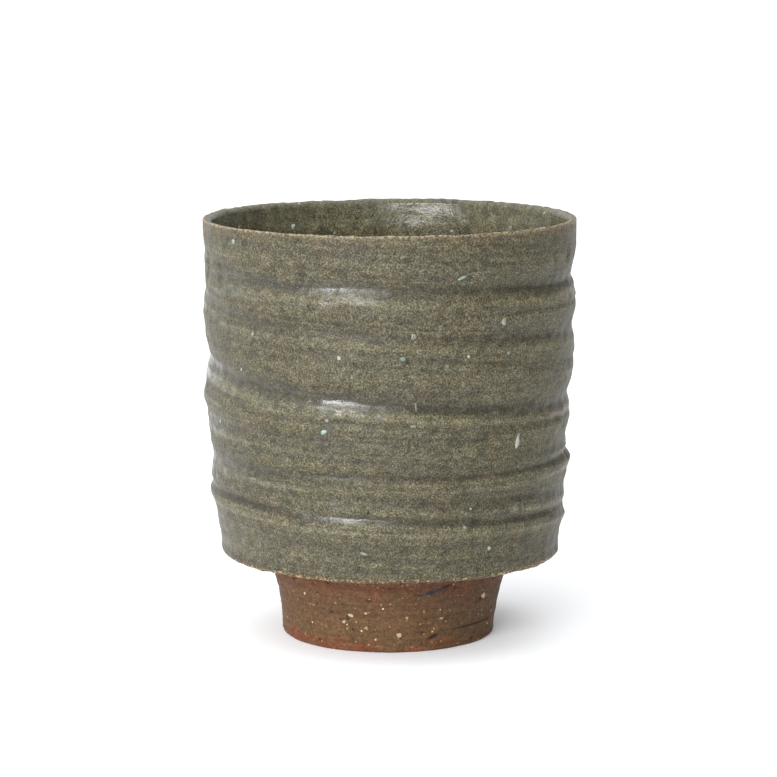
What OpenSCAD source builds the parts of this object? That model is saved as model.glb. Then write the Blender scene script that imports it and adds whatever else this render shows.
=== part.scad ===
// Yunomi tea cup: a wheel-thrown stoneware body on a luted foot ring, glazed inside and out.
// Millimetres, +Z up, origin on the table at the centre of the foot.

/* [Body] */
// Overall height, from the table to the top of the lip
cup_h = 90.5; // [75:0.5:120]
// Outer radius at the lip
rim_r = 40; // [36:0.5:50]
// Outer radius just above the base corner
base_r = 36.6; // [34:0.1:42]
// Radius of the rounded corner between wall and underside
corner_r = 1.6; // [1:0.1:3]

/* [Throwing rings] */
// Half the height of a groove that a finger left
groove_w = 3.6; // [2.5:0.1:4.5]
// Depth of the deepest groove
groove_d = 1.05; // [0.5:0.05:1.2]
// Half the height of a line that the rib left
line_w = 1.2; // [0.8:0.1:2]
// Depth of such a line
line_d = 0.45; // [0.2:0.05:0.6]

/* [Walls] */
// Thickness of the lip, glaze included
lip_t = 2.2; // [1.8:0.1:3.5]
// Thickness of the wall at the base, glaze included
wall_t = 5; // [4:0.1:8]
// Thickness of the floor, glaze included
floor_t = 6; // [4:0.1:10]
// Radius of the corner between floor and wall inside
bowl_r = 9; // [5:0.5:14]

/* [Glaze] */
// Thickness of the coat on the outside
outer_t = 0.5; // [0.3:0.05:0.7]
// Thickness of the liner coat
liner_t = 0.4; // [0.3:0.05:0.7]
// Height of the thin band of glaze that folds over the lip
lip_band_h = 2; // [1.8:0.1:6]
// Width of bare clay left on the underside between glaze and foot
bare_w = 2.5; // [1:0.1:5]

/* [Foot] */
// Height of the foot, from the table to the underside of the body
foot_h = 18.5; // [8:0.5:24]
// Outer radius of the foot at the table
foot_r = 23; // [20:0.1:26]
// Outer radius of the foot where it meets the body
foot_top_r = 26.6; // [24:0.1:29]
// Width of the ring at the table
tread_w = 5; // [3:0.1:7]
// Radius of the rounded edges of the tread
tread_r = 0.9; // [0.4:0.1:1.4]
// Radius of the recess under the cup, at the underside of the body
recess_r = 17; // [12:0.5:19]
// Thickness of the slip that joins the foot to the body
slip_t = 0.6; // [0.3:0.1:0.8]
// Radius of the slip wiped into the corner round the foot
slip_fillet_r = 1.6; // [1:0.1:3]

/* [Grains] */
// Radius of the mineral grains in the outer coat
glaze_grain_r = 0.55; // [0.4:0.05:0.8]
// Radius of the mineral grains in the liner
liner_grain_r = 0.45; // [0.35:0.05:0.7]
// Radius of the pale grains in the foot
foot_grain_r = 0.5; // [0.3:0.05:0.8]

/* [Hidden] */

// Facets of a full turn, and the length of one step along a curved outline
turn_fn = 96;
step_l = 3;
// Steps of a rounded corner
arc_n = 8;

// Heights that the pieces share
under_z = foot_h - outer_t;
wall_z = under_z + corner_r;
lip_z = cup_h - lip_t / 2;
band_z = cup_h - lip_band_h;
floor_z = foot_h + floor_t;
bowl_z = floor_z + bowl_r;
ring_top_z = foot_h - slip_t;
fillet_z = foot_h - slip_fillet_r;

// Shape of the wall's swell: under 1 fills out low down
wall_swell = 0.75;
// Shape of the foot's side: over 1 flares towards the top
foot_flare = 1.5;

// Grooves as [share of the way up the wall at the front, degrees of fall to the right, half height, depth]
GROOVES = [[0.866, 0.9, groove_w, 0.7 * groove_d], [0.742, 5.5, groove_w, 0.6 * groove_d],
           [0.534, 5.8, groove_w, groove_d], [0.306, 1.3, line_w, line_d], [0.178, 2.8, line_w, line_d]];

// Grains of the outer coat as [angle, share of the way up the wall], angle 0 to the front, +X at 90
GLAZE_GRAINS = [[-54, 0.985], [22, 0.9], [36, 0.745], [7, 0.73], [-45, 0.715], [-15, 0.665], [4, 0.665],
                [24, 0.65], [38, 0.67], [-11, 0.61], [-52, 0.6], [8, 0.515], [-3, 0.5], [-19, 0.475],
                [7, 0.46], [-20, 0.44], [-66, 0.42], [43, 0.39], [26, 0.2], [24, 0.13], [34, 0.07],
                [-8, 0.07], [95, 0.6], [112, 0.85], [128, 0.34], [150, 0.7], [171, 0.13], [186, 0.5],
                [198, 0.9], [216, 0.45], [239, 0.75], [262, 0.25]];
// Grains of the liner as [angle, share of the way up from the bowl]
LINER_GRAINS = [[-145, 0.95], [158, 0.92], [134, 0.95], [172, 0.7], [200, 0.78], [105, 0.6], [60, 0.8],
                [-70, 0.45], [-110, 0.74], [15, 0.55]];
// Grains of the foot as [angle, share of the way up its side]
FOOT_GRAINS = [[5, 0.17], [-20, 0.43], [-24, 0.33], [55, 0.59], [-12, 0.27], [-12, 0.48], [9, 0.41],
               [28, 0.37], [-47, 0.66], [70, 0.3], [110, 0.6], [140, 0.25], [175, 0.7], [205, 0.4],
               [235, 0.65], [265, 0.3]];

// Levels from a to b, about one step apart
function levels(a, b) =
    let (n = max(1, ceil(abs(b - a) / step_l))) [for (i = [0 : n]) a + (b - a) * i / n];
// Points of an arc about a centre
function arc(c, r, a, b) =
    [for (i = [0 : arc_n]) let (w = a + (b - a) * i / arc_n) c + r * [cos(w), sin(w)]];
function backwards(points) = [for (i = [len(points) - 1 : -1 : 0]) points[i]];

// Share of the way up the wall, 0 above the base corner and 1 at the lip
function up(z) = (z - wall_z) / (lip_z - wall_z);
// Outer radius of the wall without its grooves
function wall_r(z) = base_r + (rim_r - base_r) * pow(max(0, sin(90 * up(z))), wall_swell);
// Radius of the space inside, as the wall thins towards the lip
function space_r(z) = wall_r(z) - lip_t - (wall_t - lip_t) * (1 - up(z));

// Height of a groove at the front, the radius of its round hollow, and how far out the middle of that lies
function groove_z(g) = wall_z + (band_z - wall_z) * g[0];
function hollow_r(g) = (g[2] * g[2] + g[3] * g[3]) / (2 * g[3]);
function hollow_at(g) = wall_r(groove_z(g)) - g[3] + hollow_r(g);
// How deep the grooves are at an angle from the front and a height
function groove_depth(angle, z) =
    max([for (g = GROOVES) let (off = z - groove_z(g) + wall_r(z) * sin(angle) * tan(g[1]))
        abs(off) < g[2] ? g[3] - hollow_r(g) + sqrt(pow(hollow_r(g), 2) - off * off) : 0]);

// Outer radius of the foot, flaring from the tread to the body
function foot_side_r(z) =
    foot_r + (foot_top_r - foot_r) * pow(max(0, z - tread_r) / (ring_top_z - tread_r), foot_flare);

// Outlines run at depth t under the glazed surface: 0 is that surface, the coat's thickness the clay
function corner_line(t) = arc([base_r - corner_r, wall_z], corner_r - t, -90, 0);
function wall_line(t, a, b) = [for (z = levels(a, b)) [wall_r(z) - t, z]];
function space_line(t, a, b) = [for (z = levels(a, b)) [space_r(z) + t, z]];
function lip_line(t_out, t_in) =
    [for (i = [0 : 2 * arc_n]) let (s = i / (2 * arc_n), w = 180 * s)
        [rim_r - lip_t / 2, lip_z] + (lip_t / 2 - t_out - (t_in - t_out) * s) * [cos(w), sin(w)]];
function bowl_line(t) = arc([space_r(bowl_z) - bowl_r, bowl_z], bowl_r + t, 0, -90);
function foot_line(a, b) = [for (z = levels(a, b)) [foot_side_r(z), z]];
function fillet_line() =
    [for (i = [0 : arc_n]) let (w = 90 * i / arc_n, z = fillet_z + slip_fillet_r * sin(w))
        [foot_side_r(z) + slip_fillet_r * (1 - cos(w)), z]];

// A solid turned from a closed outline of [radius, height] points
module turned(outline) { rotate_extrude($fn = turn_fn) polygon(outline); }

// A grain of radius r, centred at a radius, an angle from the front and a height
module grain(r, at_r, angle, z) { rotate([0, 0, angle]) translate([0, -at_r, z]) sphere(r, $fn = 32); }

// Rings that cut the grooves, a depth t under the glazed surface
module groove_cutters(t) {
    for (g = GROOVES)
        translate([0, 0, groove_z(g)]) rotate([0, g[1], 0])
            rotate_extrude($fn = turn_fn)
                translate([hollow_at(g), 0]) circle(hollow_r(g) + t, $fn = turn_fn);
}

module glaze_grain_balls() {
    for (g = GLAZE_GRAINS) let (z = wall_z + (band_z - wall_z) * g[1])
        grain(glaze_grain_r, wall_r(z) - groove_depth(g[0], z) - outer_t / 2, g[0], z);
}

module liner_grain_balls() {
    for (g = LINER_GRAINS) let (z = bowl_z + (band_z - bowl_z) * g[1])
        grain(liner_grain_r, space_r(z) + liner_t / 2, g[0], z);
}

module foot_grain_balls() {
    for (g = FOOT_GRAINS) let (z = tread_r + (fillet_z - tread_r) * g[1])
        grain(foot_grain_r, foot_side_r(z), g[0], z);
}

// The clay with its grooves: the outside up to the lip, closed by the rest of the outline
module grooved_clay(rest) {
    difference() {
        turned(concat([[0, foot_h]], corner_line(outer_t),
            wall_line(outer_t, wall_z, band_z), wall_line(outer_t, band_z, lip_z), rest));
        groove_cutters(outer_t);
    }
}

// Wall and floor, thrown in one piece, with a seat for each grain that breaks through the glaze
module thrown_body() {
    color("saddlebrown") difference() {
        grooved_clay(concat(lip_line(outer_t, liner_t),
            space_line(liner_t, lip_z, band_z), space_line(liner_t, band_z, bowl_z),
            bowl_line(liner_t), [[0, floor_z - liner_t]]));
        glaze_grain_balls();
        liner_grain_balls();
    }
}

// Ring thrown apart and joined under the body
module foot_ring() {
    color("sienna") difference() {
        turned(concat(arc([foot_r - tread_r, tread_r], tread_r, -90, 0),
            foot_line(tread_r, fillet_z), foot_line(fillet_z, ring_top_z), [[recess_r, ring_top_z]],
            arc([foot_r - tread_w + tread_r, tread_r], tread_r, 180, 270)));
        foot_grain_balls();
    }
}

// Slip between foot and body, wiped round the outside into a hollow fillet
module slip_joint() {
    color("peru") turned(concat([[recess_r, ring_top_z]], foot_line(ring_top_z, fillet_z),
        fillet_line(), [[recess_r, foot_h]]));
}

// Coat over the clay's outside, from the lip band down and round the corner to the bare clay by the foot
module grooved_coat() {
    line_r = foot_side_r(foot_h) + slip_fillet_r + bare_w;
    difference() {
        turned(concat([[line_r, under_z]], corner_line(0), wall_line(0, wall_z, band_z),
            [[line_r, band_z]]));
        groove_cutters(0);
        grooved_clay([[0, lip_z]]);
    }
}

// Coat on the outside, with a hole for each grain
module outer_glaze() {
    color("darkolivegreen") difference() {
        grooved_coat();
        glaze_grain_balls();
    }
}

// Coat on the inside wall and floor
module liner_glaze() {
    color("olivedrab") difference() {
        turned(concat([[0, floor_z - liner_t]], backwards(bowl_line(liner_t)),
            space_line(liner_t, bowl_z, band_z), space_line(0, band_z, bowl_z), bowl_line(0),
            [[0, floor_z]]));
        liner_grain_balls();
    }
}

// Thin glaze folded over the lip, where the two coats meet
module lip_glaze() {
    color("tan") turned(concat(wall_line(0, band_z, lip_z), lip_line(0, 0), space_line(0, lip_z, band_z),
        space_line(liner_t, band_z, lip_z), backwards(lip_line(outer_t, liner_t)),
        wall_line(outer_t, lip_z, band_z)));
}

// Grains seated in the clay that break the surface of the coat
module glaze_grains() { color("honeydew") glaze_grain_balls(); }
module liner_grains() { color("honeydew") liner_grain_balls(); }
// Grains half sunk in the bare clay of the foot
module foot_grains() { color("antiquewhite") foot_grain_balls(); }

thrown_body();
foot_ring();
slip_joint();
outer_glaze();
liner_glaze();
lip_glaze();
glaze_grains();
liner_grains();
foot_grains();
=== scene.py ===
"""A wheel-thrown yunomi tea cup: a ringed, speckled glaze inside and out, and a tall bare foot."""
import math

import bmesh
import bpy
import numpy as np
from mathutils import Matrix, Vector, noise


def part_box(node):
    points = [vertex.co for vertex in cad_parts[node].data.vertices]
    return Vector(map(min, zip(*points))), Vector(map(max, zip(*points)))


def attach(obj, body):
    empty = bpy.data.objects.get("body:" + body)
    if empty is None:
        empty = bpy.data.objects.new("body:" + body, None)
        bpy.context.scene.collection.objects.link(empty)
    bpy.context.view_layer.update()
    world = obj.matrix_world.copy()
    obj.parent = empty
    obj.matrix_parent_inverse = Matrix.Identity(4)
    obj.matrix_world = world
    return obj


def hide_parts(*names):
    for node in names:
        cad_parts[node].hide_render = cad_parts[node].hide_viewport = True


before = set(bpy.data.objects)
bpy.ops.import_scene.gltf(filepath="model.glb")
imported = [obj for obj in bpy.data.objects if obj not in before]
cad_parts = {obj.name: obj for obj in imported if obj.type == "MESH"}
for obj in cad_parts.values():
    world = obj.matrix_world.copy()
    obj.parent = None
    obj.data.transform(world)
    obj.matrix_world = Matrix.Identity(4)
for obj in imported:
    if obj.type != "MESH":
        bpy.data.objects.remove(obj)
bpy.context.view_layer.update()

# Lengths are in millimetres, and become metres where a mesh is made. Angles are in degrees, 0 at the front
MM = 0.001


def lowest(node):
    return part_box(node)[0].z / MM


def highest(node):
    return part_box(node)[1].z / MM


def widest(node):
    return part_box(node)[1].x / MM


# Heights and radii that the solids give
CUP_H = highest("lip_glaze")
RIM_R = widest("lip_glaze")
BAND_Z = highest("outer_glaze")
UNDER_Z = lowest("outer_glaze")
BODY_Z = lowest("thrown_body")
LINER_Z = lowest("liner_glaze")
RING_TOP_Z = highest("foot_ring")
RING_TOP_R = widest("foot_ring")
FILLET_Z = lowest("slip_joint")
BEAD_R = widest("slip_joint")

# Thickness of the lip and of the wall at its base, and of the two coats
LIP_T = 2.2
WALL_T = 5.0
GLAZE_T = 0.9
LINER_T = 0.4

# How much thinner the wall gets in the last few millimetres, from the inside
THINNING = 0.4
THINNING_H = 6

# Lowest level of the plain wall, corner between floor and wall inside, and rings of throwing on the floor
WALL_Z = UNDER_Z + 2.5
BOWL_R = 9.0
FLOOR_Z = LINER_Z + LINER_T
FLOOR_RING_H = 0.25
FLOOR_RINGS = 5

# Radius of the base edge, the bare clay beside the foot, and how far that runs on under the glaze
BASE_R = 36.0
BARE_W = 2.5
CLAY_LAP = 1.5

# Base corner: how much thinner the coat gets to its edge underneath, up to which height the corner is uneven,
# the share of that which goes outward, and the height below which the glaze gets thin, and how soon
COAT_TAPER = 0.3
CORNER_H = 2.4
CORNER_OUT = 0.7
CORNER_THIN = 1.1
CORNER_FADE = 0.6

# Thickness of the slip where its fillet ends on the foot, and how far in from the edge its underside ends
SLIP_T = 0.04
SLIP_LAP = 2

# Room between the clay and the coat outside, and between the clay and the liner
CLAY_ROOM = 0.15
LINER_ROOM = 0.1

# Foot: radius at the table, width and edge of the tread, and the recess
FOOT_R = 23.0
TREAD_W = 5.0
TREAD_R = 0.6
RECESS_R = 17.0

# Foot: the power of its flare, how far its table end is off to the left and up to which height, and its waist
FOOT_FLARE = 1.5
FOOT_SHIFT = 0.28
FOOT_SHIFT_H = 11
FOOT_WAIST = 0.2

# How deep the gouges in the foot are, how much its edge is lifted, and up to which height that is uneven
GOUGE_D = 0.3
TREAD_LIFT = 0.06
TREAD_FADE = 3

# Radius of the lip's outer edge, the depth of its slope to the inside, and how deep its coat and its clay lie
LIP_ROUND = 0.4
LIP_SLOPE = 1.3
LIP_COAT_T = 0.4
LIP_CLAY_D = 0.6

# How far the lip lies below the top of the solid, and a dip in it at the back: angle, half width and depth
LIP_DROP = 0.06
DIP_ANGLE = 200
DIP_WIDE = 30
DIP_DEEP = 0.25

# Where the glaze is worn pale on the lip's crest, partly a painted glint where the crest catches the light:
# how far out from the crest, how wide and how far down
WORN_GLINT_OUT = 0.2
WORN_GLINT_W = 0.25
WORN_GLINT_H = 0.8

# Width of the lip's inner side in which the outer glaze changes to that of the inside
INNER_W = 0.8

# Height of the stretch below the lip in which the glaze gets thin, and how thin
RIM_FADE = 3.5
RIM_THIN = 0.55

# How far below a groove the glaze lies dark in a pool, and pale where it ran on
POOL_DROP = 0.8
RUN_DROP = 3.0

# How far the rim and the base edge lean at the right, and how far up the wall the lean of the base reaches
RIM_LEAN = 0.1
BASE_LEAN = -0.2
BASE_LEAN_H = 8

# Points round a full turn, starting at the left so that front and back are a half turn each
TURN = 400
HALF = TURN // 2
ANGLES = np.arange(TURN) * 360 / TURN - 90
SIDE = np.sin(np.radians(ANGLES))

# Height of a row of the wall, the rows over which it is smoothed to find its fine marks and its grooves, and
# the rows for the inside
ROW_H = 0.39
FINE_REACH = 4
BROAD_REACH = 13
LINER_REACH = 8

# Layers of lumps as (seed, height, degrees across, millimetres tall)
WALL_LUMPS = ((1, 0.06, 24, 9), (2, 0.07, 40, 1.3), (3, 0.12, 3.6, 2.2), (4, 0.07, 2, 1.3))
SPACE_WAVES = ((11, 0.3, 60, 7), (12, 0.12, 30, 2))
SPACE_LUMPS = ((13, 0.05, 6, 3), (14, 0.03, 2.4, 1.4))
FOOT_LUMPS = ((21, 0.08, 18, 5), (22, 0.06, 60, 0.9), (23, 0.10, 4, 1.6))
BASE_LUMPS = ((31, 0.18, 4, 3), (32, 0.12, 2, 3))
GLAZE_LINE_LUMPS = ((33, 0.5, 9, 3), (34, 0.25, 3, 3))
LIP_LUMPS = ((41, 0.09, 7, 3), (42, 0.10, 2.2, 3))
UNDER_LUMPS = ((51, 0.08, 20, 4),)
TREAD_LUMPS = ((61, 0.12, 14, 3), (62, 0.12, 5, 3))
RECESS_LUMPS = ((63, 0.06, 20, 1.5),)
SLIP_LUMPS = ((71, 0.08, 5, 1),)


# Curves and lumps

def smooth_through(knots, x):
    """The columns after the first of a list of knots, as smooth curves of the first, at each x."""
    table = np.array(knots, float)
    place, value = table[:, 0], table[:, 1:]
    slope = np.gradient(value, place, axis=0)
    slope[[0, -1]] = 0
    i = np.clip(np.searchsorted(place, x) - 1, 0, len(place) - 2)
    gap = (place[i + 1] - place[i])[..., None]
    t = np.clip((x - place[i])[..., None] / gap, 0, 1)
    rest = 1 - t
    return ((1 + 2 * t) * rest ** 2 * value[i] + t * rest ** 2 * gap * slope[i]
            + t ** 2 * (1 + 2 * rest) * value[i + 1] - t ** 2 * rest * gap * slope[i + 1])


def ease(t):
    t = np.clip(t, 0, 1)
    return t * t * (3 - 2 * t)


def cos_sin(degrees):
    turn = math.radians(degrees)
    return math.cos(turn), math.sin(turn)


def lumps(seed, z, across, tall):
    """Smooth random hills from -1 to 1 at every angle, so many degrees across and millimetres tall."""
    count = max(3, round(360 / across))
    levels = 512
    table = np.random.default_rng(seed).uniform(-1, 1, (count, levels))
    z = np.asarray(z, float)
    u = np.broadcast_to(ANGLES / 360 % 1 * count, np.broadcast_shapes(z.shape, ANGLES.shape))
    v = np.broadcast_to(z / tall % levels, u.shape)
    i, j = np.floor(u).astype(int), np.floor(v).astype(int)
    s, t = ease(u - i), ease(v - j)
    i, j, right, above = i % count, j % levels, (i + 1) % count, (j + 1) % levels
    low = table[i, j] * (1 - s) + table[right, j] * s
    high = table[i, above] * (1 - s) + table[right, above] * s
    return low * (1 - t) + high * t


def hills(layers, z):
    """The sum of layers of lumps at rows of heights, for every angle."""
    return sum(height * lumps(seed, z, across, tall) for seed, height, across, tall in layers)


def blurred(rows, reach):
    """Rows smoothed along the first axis, over so many rows each way."""
    padded = np.pad(rows, ((reach, reach), (0, 0)), mode="edge")
    weights = np.exp(-(np.arange(-reach, reach + 1) / (0.5 * reach)) ** 2)
    return sum(w * padded[i:i + len(rows)] for i, w in enumerate(weights)) / weights.sum()


def lowered(rows, drop):
    """Rows of the wall moved down by so many millimetres."""
    steps = round(drop / ROW_H)
    return np.concatenate([rows[steps:], np.zeros((steps, TURN))])


# Heights on the wall are counted from the underside of the glaze.
# Outer radius of the wall without its throwing marks, as (height, radius)
WALL = ((-1.5, 36.6), (2.5, 36.6), (6.5, 36.95), (10.5, 37.65), (16.5, 38.35), (24.5, 38.7), (32.5, 39.2),
        (40.5, 39.6), (50.5, 39.9), (60.5, 39.9), (66.5, 39.95), (73.5, 39.95))

# Marks of the fingers: width above the line, width below it, then (angle, height, depth) along the line.
# A ridge has a negative depth.
MARKS = (
    # Grooves that run all the way round
    (2.9, 2.4, ((-90, 61.5, 0.3), (-40, 62.1, 0.75), (-12, 62, 0.85), (5, 61.7, 0.7), (50, 60.5, 1.0),
                (90, 60.5, 1.1), (150, 60.7, 0.8), (210, 61.2, 0.6), (270, 61.5, 0.3))),
    (2.9, 2.4, ((-90, 57.5, 0.5), (-50, 54.3, 0.5), (0, 52.1, 0.55), (50, 50.3, 0.6), (90, 49.3, 0.7),
                (150, 50.5, 0.65), (210, 54.5, 0.6), (270, 57.5, 0.5))),
    (2.9, 2.9, ((-90, 43.1, 1.2), (-55, 41.1, 1.1), (0, 37.9, 1.0), (55, 35.1, 1.0), (90, 34.8, 1.1),
                (150, 36, 1.0), (210, 40.5, 1.1), (270, 43.1, 1.2))),
    # Shorter hollows and ridges
    (3.0, 2.6, ((-200, 22.5, 0), (-90, 21.3, 0.6), (-30, 20, 0.2), (20, 18.5, 0))),
    (3.6, 2.0, ((20, 24.5, 0), (90, 25.1, 0.75), (150, 24, 0.5), (200, 22.5, 0.3), (250, 22.5, 0))),
    (2.3, 2.3, ((-30, 17.5, 0), (30, 16.7, 0.3), (90, 14.9, 0.55), (150, 14, 0.5), (210, 13.5, 0))),
    (2.0, 2.0, ((-140, 49.5, 0), (-90, 48.5, 0.3), (-50, 48, 0))),
    (2.0, 2.0, ((-110, 66, 0), (-88, 65.8, 0.4), (-72, 65.4, 0.3), (-58, 65, 0))),
    (1.2, 2.2, ((-170, 15.1, 0), (-90, 13.8, -0.65), (-30, 12.5, -0.35), (30, 10.5, -0.35), (90, 8.1, -0.7),
                (150, 7, -0.3), (190, 6.5, 0))),
    (2.8, 1.2, ((-160, 36, 0), (-90, 33.9, -0.75), (-40, 33.9, -0.4), (10, 32.5, 0))),
    (0.7, 1.4, ((40, 21, 0), (90, 20.7, -0.6), (140, 20.1, 0))),
    (1.6, 1.6, ((30, 55, 0), (90, 54.1, -0.3), (140, 54, 0))),
    # Sharp lines left by fingernails and the rib
    (0.7, 0.8, ((-150, 25, 0), (-90, 23.5, 0.1), (-40, 22.9, 0.4), (0, 22.5, 0.45), (50, 22.3, 0.5),
                (90, 22.7, 0.5), (130, 23, 0.3), (180, 22, 0.3), (230, 21, 0))),
    (0.55, 0.75, ((-170, 16.5, 0), (-90, 15.5, 0.35), (-56, 15, 0.5), (-30, 14.5, 0.5), (0, 13.8, 0.5),
                  (30, 12.8, 0.45), (62, 11.8, 0.4), (95, 11.1, 0.1), (120, 10.5, 0))),
    (0.6, 0.6, ((-35, 57.5, 0), (-5, 57, 0.15), (20, 56.3, 0.3), (62, 55.5, 0.3), (95, 55, 0.15),
                (140, 54.5, 0))),
    (0.8, 0.8, ((-70, 50, 0), (-38, 48.5, 0.2), (3, 47.8, 0.3), (28, 46, 0.3), (62, 44.2, 0.25),
                (120, 42.5, 0))),
    (0.6, 0.7, ((-90, 38, 0), (-62, 37, 0.2), (-47, 34.8, 0.3), (0, 33.5, 0.4), (20, 32.5, 0.4),
                (62, 31.5, 0.3), (95, 30.9, 0.1), (130, 30.5, 0))),
    (0.7, 0.7, ((-80, 31, 0), (-50, 30.5, 0.25), (0, 29.9, 0.35), (30, 29.8, 0.3), (60, 29, 0))),
    (0.7, 0.7, ((-60, 27, 0), (-20, 26.3, 0.15), (20, 25.5, 0.15), (60, 26.5, 0.12), (90, 26.5, 0))),
    (1.1, 1.1, ((-70, 19, 0), (-47, 18.2, 0.2), (0, 17.3, 0.25), (30, 17, 0.25), (62, 16, 0.2),
                (90, 15.5, 0))),
    (0.7, 0.7, ((100, 64.5, 0), (140, 64, 0.3), (200, 63.5, 0.3), (250, 62.5, 0.2), (290, 62.5, 0))),
    (0.6, 0.6, ((110, 35.5, 0), (150, 34.8, 0.3), (210, 34.3, 0.35), (255, 35, 0))),
    (0.6, 0.6, ((120, 18, 0), (160, 17.5, 0.35), (220, 16.8, 0.4), (265, 16.1, 0.2), (290, 15.5, 0))),
    (0.7, 0.7, ((130, 27.5, 0), (170, 27.1, 0.25), (230, 26.5, 0.25), (270, 25.9, 0))),
)

# Small dents below the rim as (angle, height, half width, half height, tilt, depth)
DENTS = ((-76, 62.5, 1.4, 3.2, 0, 0.55), (-63, 61.5, 1.3, 3.4, 8, 0.45), (70, 66, 1.1, 2.2, 0, 0.35),
         (60, 66.5, 1, 2.4, 0, 0.3))


def mark_depth(height):
    """How far the finger marks push the wall in, at rows of heights, for every angle. Below its line a mark
    ends in a straight flank."""
    pushed = np.zeros(height.shape)
    for above, below, line in MARKS:
        for along in (ANGLES - 360, ANGLES, ANGLES + 360):
            on = (along >= line[0][0]) & (along < line[-1][0])
            if on.any():
                centre, depth = smooth_through(line, along[on]).T
                off = height[:, on] - centre
                fall = np.where(off > 0, (off / above) ** 2, abs(off / below) ** 1.5)
                pushed[:, on] += depth * np.exp(-fall)
    return pushed


def level_rows(heights):
    """Rows of one height each, for every angle."""
    return np.repeat(np.asarray(heights, float)[:, None], TURN, 1)


def wall_radius(z):
    """Outer radius of the glazed wall at rows of heights, for every angle."""
    height = z - UNDER_Z
    radius = smooth_through(WALL, height)[..., 0] - mark_depth(height)
    radius -= patched(height, radius, DENTS)
    return np.minimum(radius + hills(WALL_LUMPS, z), RIM_R - 0.01)


def space_radius(z):
    """Radius of the space inside, with the softer marks of the throwing there."""
    up = np.clip((z - WALL_Z) / (CUP_H - LIP_T / 2 - WALL_Z), 0, 1)
    radius = smooth_through(WALL, z - UNDER_Z)[..., 0] - LIP_T - (WALL_T - LIP_T) * (1 - up)
    radius += THINNING * ease((z - CUP_H + THINNING_H) / THINNING_H)
    fade = ease((z - FLOOR_Z) / BOWL_R) * ease((CUP_H - z) / THINNING_H)
    return radius + fade * hills(SPACE_WAVES, z) + hills(SPACE_LUMPS, z)


def foot_radius(z):
    """Outer radius of the foot, flaring to the body, a little off the axis at the table."""
    flare = np.clip((z - TREAD_R) / (RING_TOP_Z - TREAD_R), 0, 1) ** FOOT_FLARE
    radius = FOOT_R + (RING_TOP_R - FOOT_R) * flare - FOOT_SHIFT * SIDE * ease(1 - z / FOOT_SHIFT_H)
    radius -= FOOT_WAIST * np.sin(np.pi * np.clip(z / RING_TOP_Z, 0, 1))
    return radius + hills(FOOT_LUMPS, z)


# Meshes turned from rows

def ring(radius, z):
    """One row of points from a radius and a height, each a number or one number per angle."""
    turn = np.radians(ANGLES)
    return np.stack(np.broadcast_arrays(radius * np.sin(turn), -radius * np.cos(turn), z), 1)


def row_shares(rows, shown):
    """The share of the map's height at each row: the shown rows take nearly all of it, by their length."""
    hidden_weight = 0.02
    steps = [np.linalg.norm(b[0] - a[0]) for a, b in zip(rows, rows[1:] + rows[:1])]
    weights = [step if i < shown else hidden_weight * step for i, step in enumerate(steps)]
    return np.concatenate([[0], np.cumsum(weights)]) / sum(weights)


def map_spot(j, column, share):
    """A point of the bake's map: the front half of the turn as a strip, and the back half over it."""
    margin = 0.004
    strip = j // HALF
    return (margin + (column - strip * HALF) / HALF * (1 - 2 * margin),
            strip / 2 + margin + share * (0.5 - 2 * margin))


def braced(values, shown):
    """Values by row with one more just inside each end of the shown rows, so that shading ends straight."""
    inside = 0.03
    first = values[0] + inside * (values[1] - values[0])
    last = values[shown] + inside * (values[shown - 1] - values[shown])
    return np.concatenate([values[:1], [first], values[1:shown], [last], values[shown:]])


def turned(name, rows, shown, poles=None, given=None):
    """A closed mesh through rows of points, smooth on the first rows, as many as are shown. Without poles the
    last row joins the first; with poles, two heights, its ends close on the axis."""
    given = {key: braced(value, shown) for key, value in (given or {}).items()}
    rows = list(braced(np.array(rows), shown))
    shown += 2
    count = len(rows)
    points = np.concatenate(rows)
    share = row_shares(rows, shown)
    faces, spots, smooth = [], [], []
    for i in range(count - 1 if poles else count):
        low, high = i * TURN, (i + 1) % count * TURN
        for j in range(TURN):
            k = (j + 1) % TURN
            faces.append((low + j, low + k, high + k, high + j))
            spots += [map_spot(j, j, share[i]), map_spot(j, j + 1, share[i]),
                      map_spot(j, j + 1, share[i + 1]), map_spot(j, j, share[i + 1])]
        smooth += [i < shown] * TURN
    if poles:
        last = (count - 1) * TURN
        points = np.concatenate([points, [(0, 0, z) for z in poles]])
        for j in range(TURN):
            k = (j + 1) % TURN
            faces += [(len(points) - 2, k, j), (len(points) - 1, last + j, last + k)]
            spots += [map_spot(j, j + 0.5, 0), map_spot(j, j + 1, share[0]), map_spot(j, j, share[0])]
            spots += [map_spot(j, j + 0.5, 1), map_spot(j, j, share[-2]), map_spot(j, j + 1, share[-2])]
        smooth += [True, False] * TURN
    mesh = bpy.data.meshes.new(name)
    mesh.from_pydata((points * MM).tolist(), [], faces)
    mesh.polygons.foreach_set("use_smooth", smooth)
    mesh.uv_layers.new(name="OFBake").data.foreach_set("uv", np.array(spots, np.float32).ravel())
    for key, value in given.items():
        value = np.concatenate([value.ravel(), np.zeros(len(points) - value.size)])
        mesh.attributes.new(key, "FLOAT", "POINT").data.foreach_set("value", value.astype(np.float32))
    face_outward(mesh)
    return shown_piece(name, mesh)


def face_outward(mesh):
    """Turns a closed mesh's faces to the outside."""
    mesh.calc_loop_triangles()
    points = np.empty(len(mesh.vertices) * 3)
    mesh.vertices.foreach_get("co", points)
    corners = np.empty(len(mesh.loop_triangles) * 3, int)
    mesh.loop_triangles.foreach_get("vertices", corners)
    a, b, c = points.reshape(-1, 3)[corners.reshape(-1, 3)].transpose(1, 0, 2)
    if np.einsum("ij,ij->", a, np.cross(b, c)) < 0:
        mesh.flip_normals()


def shown_piece(name, mesh):
    piece = bpy.data.objects.new(name, mesh)
    bpy.context.scene.collection.objects.link(piece)
    return piece


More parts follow.
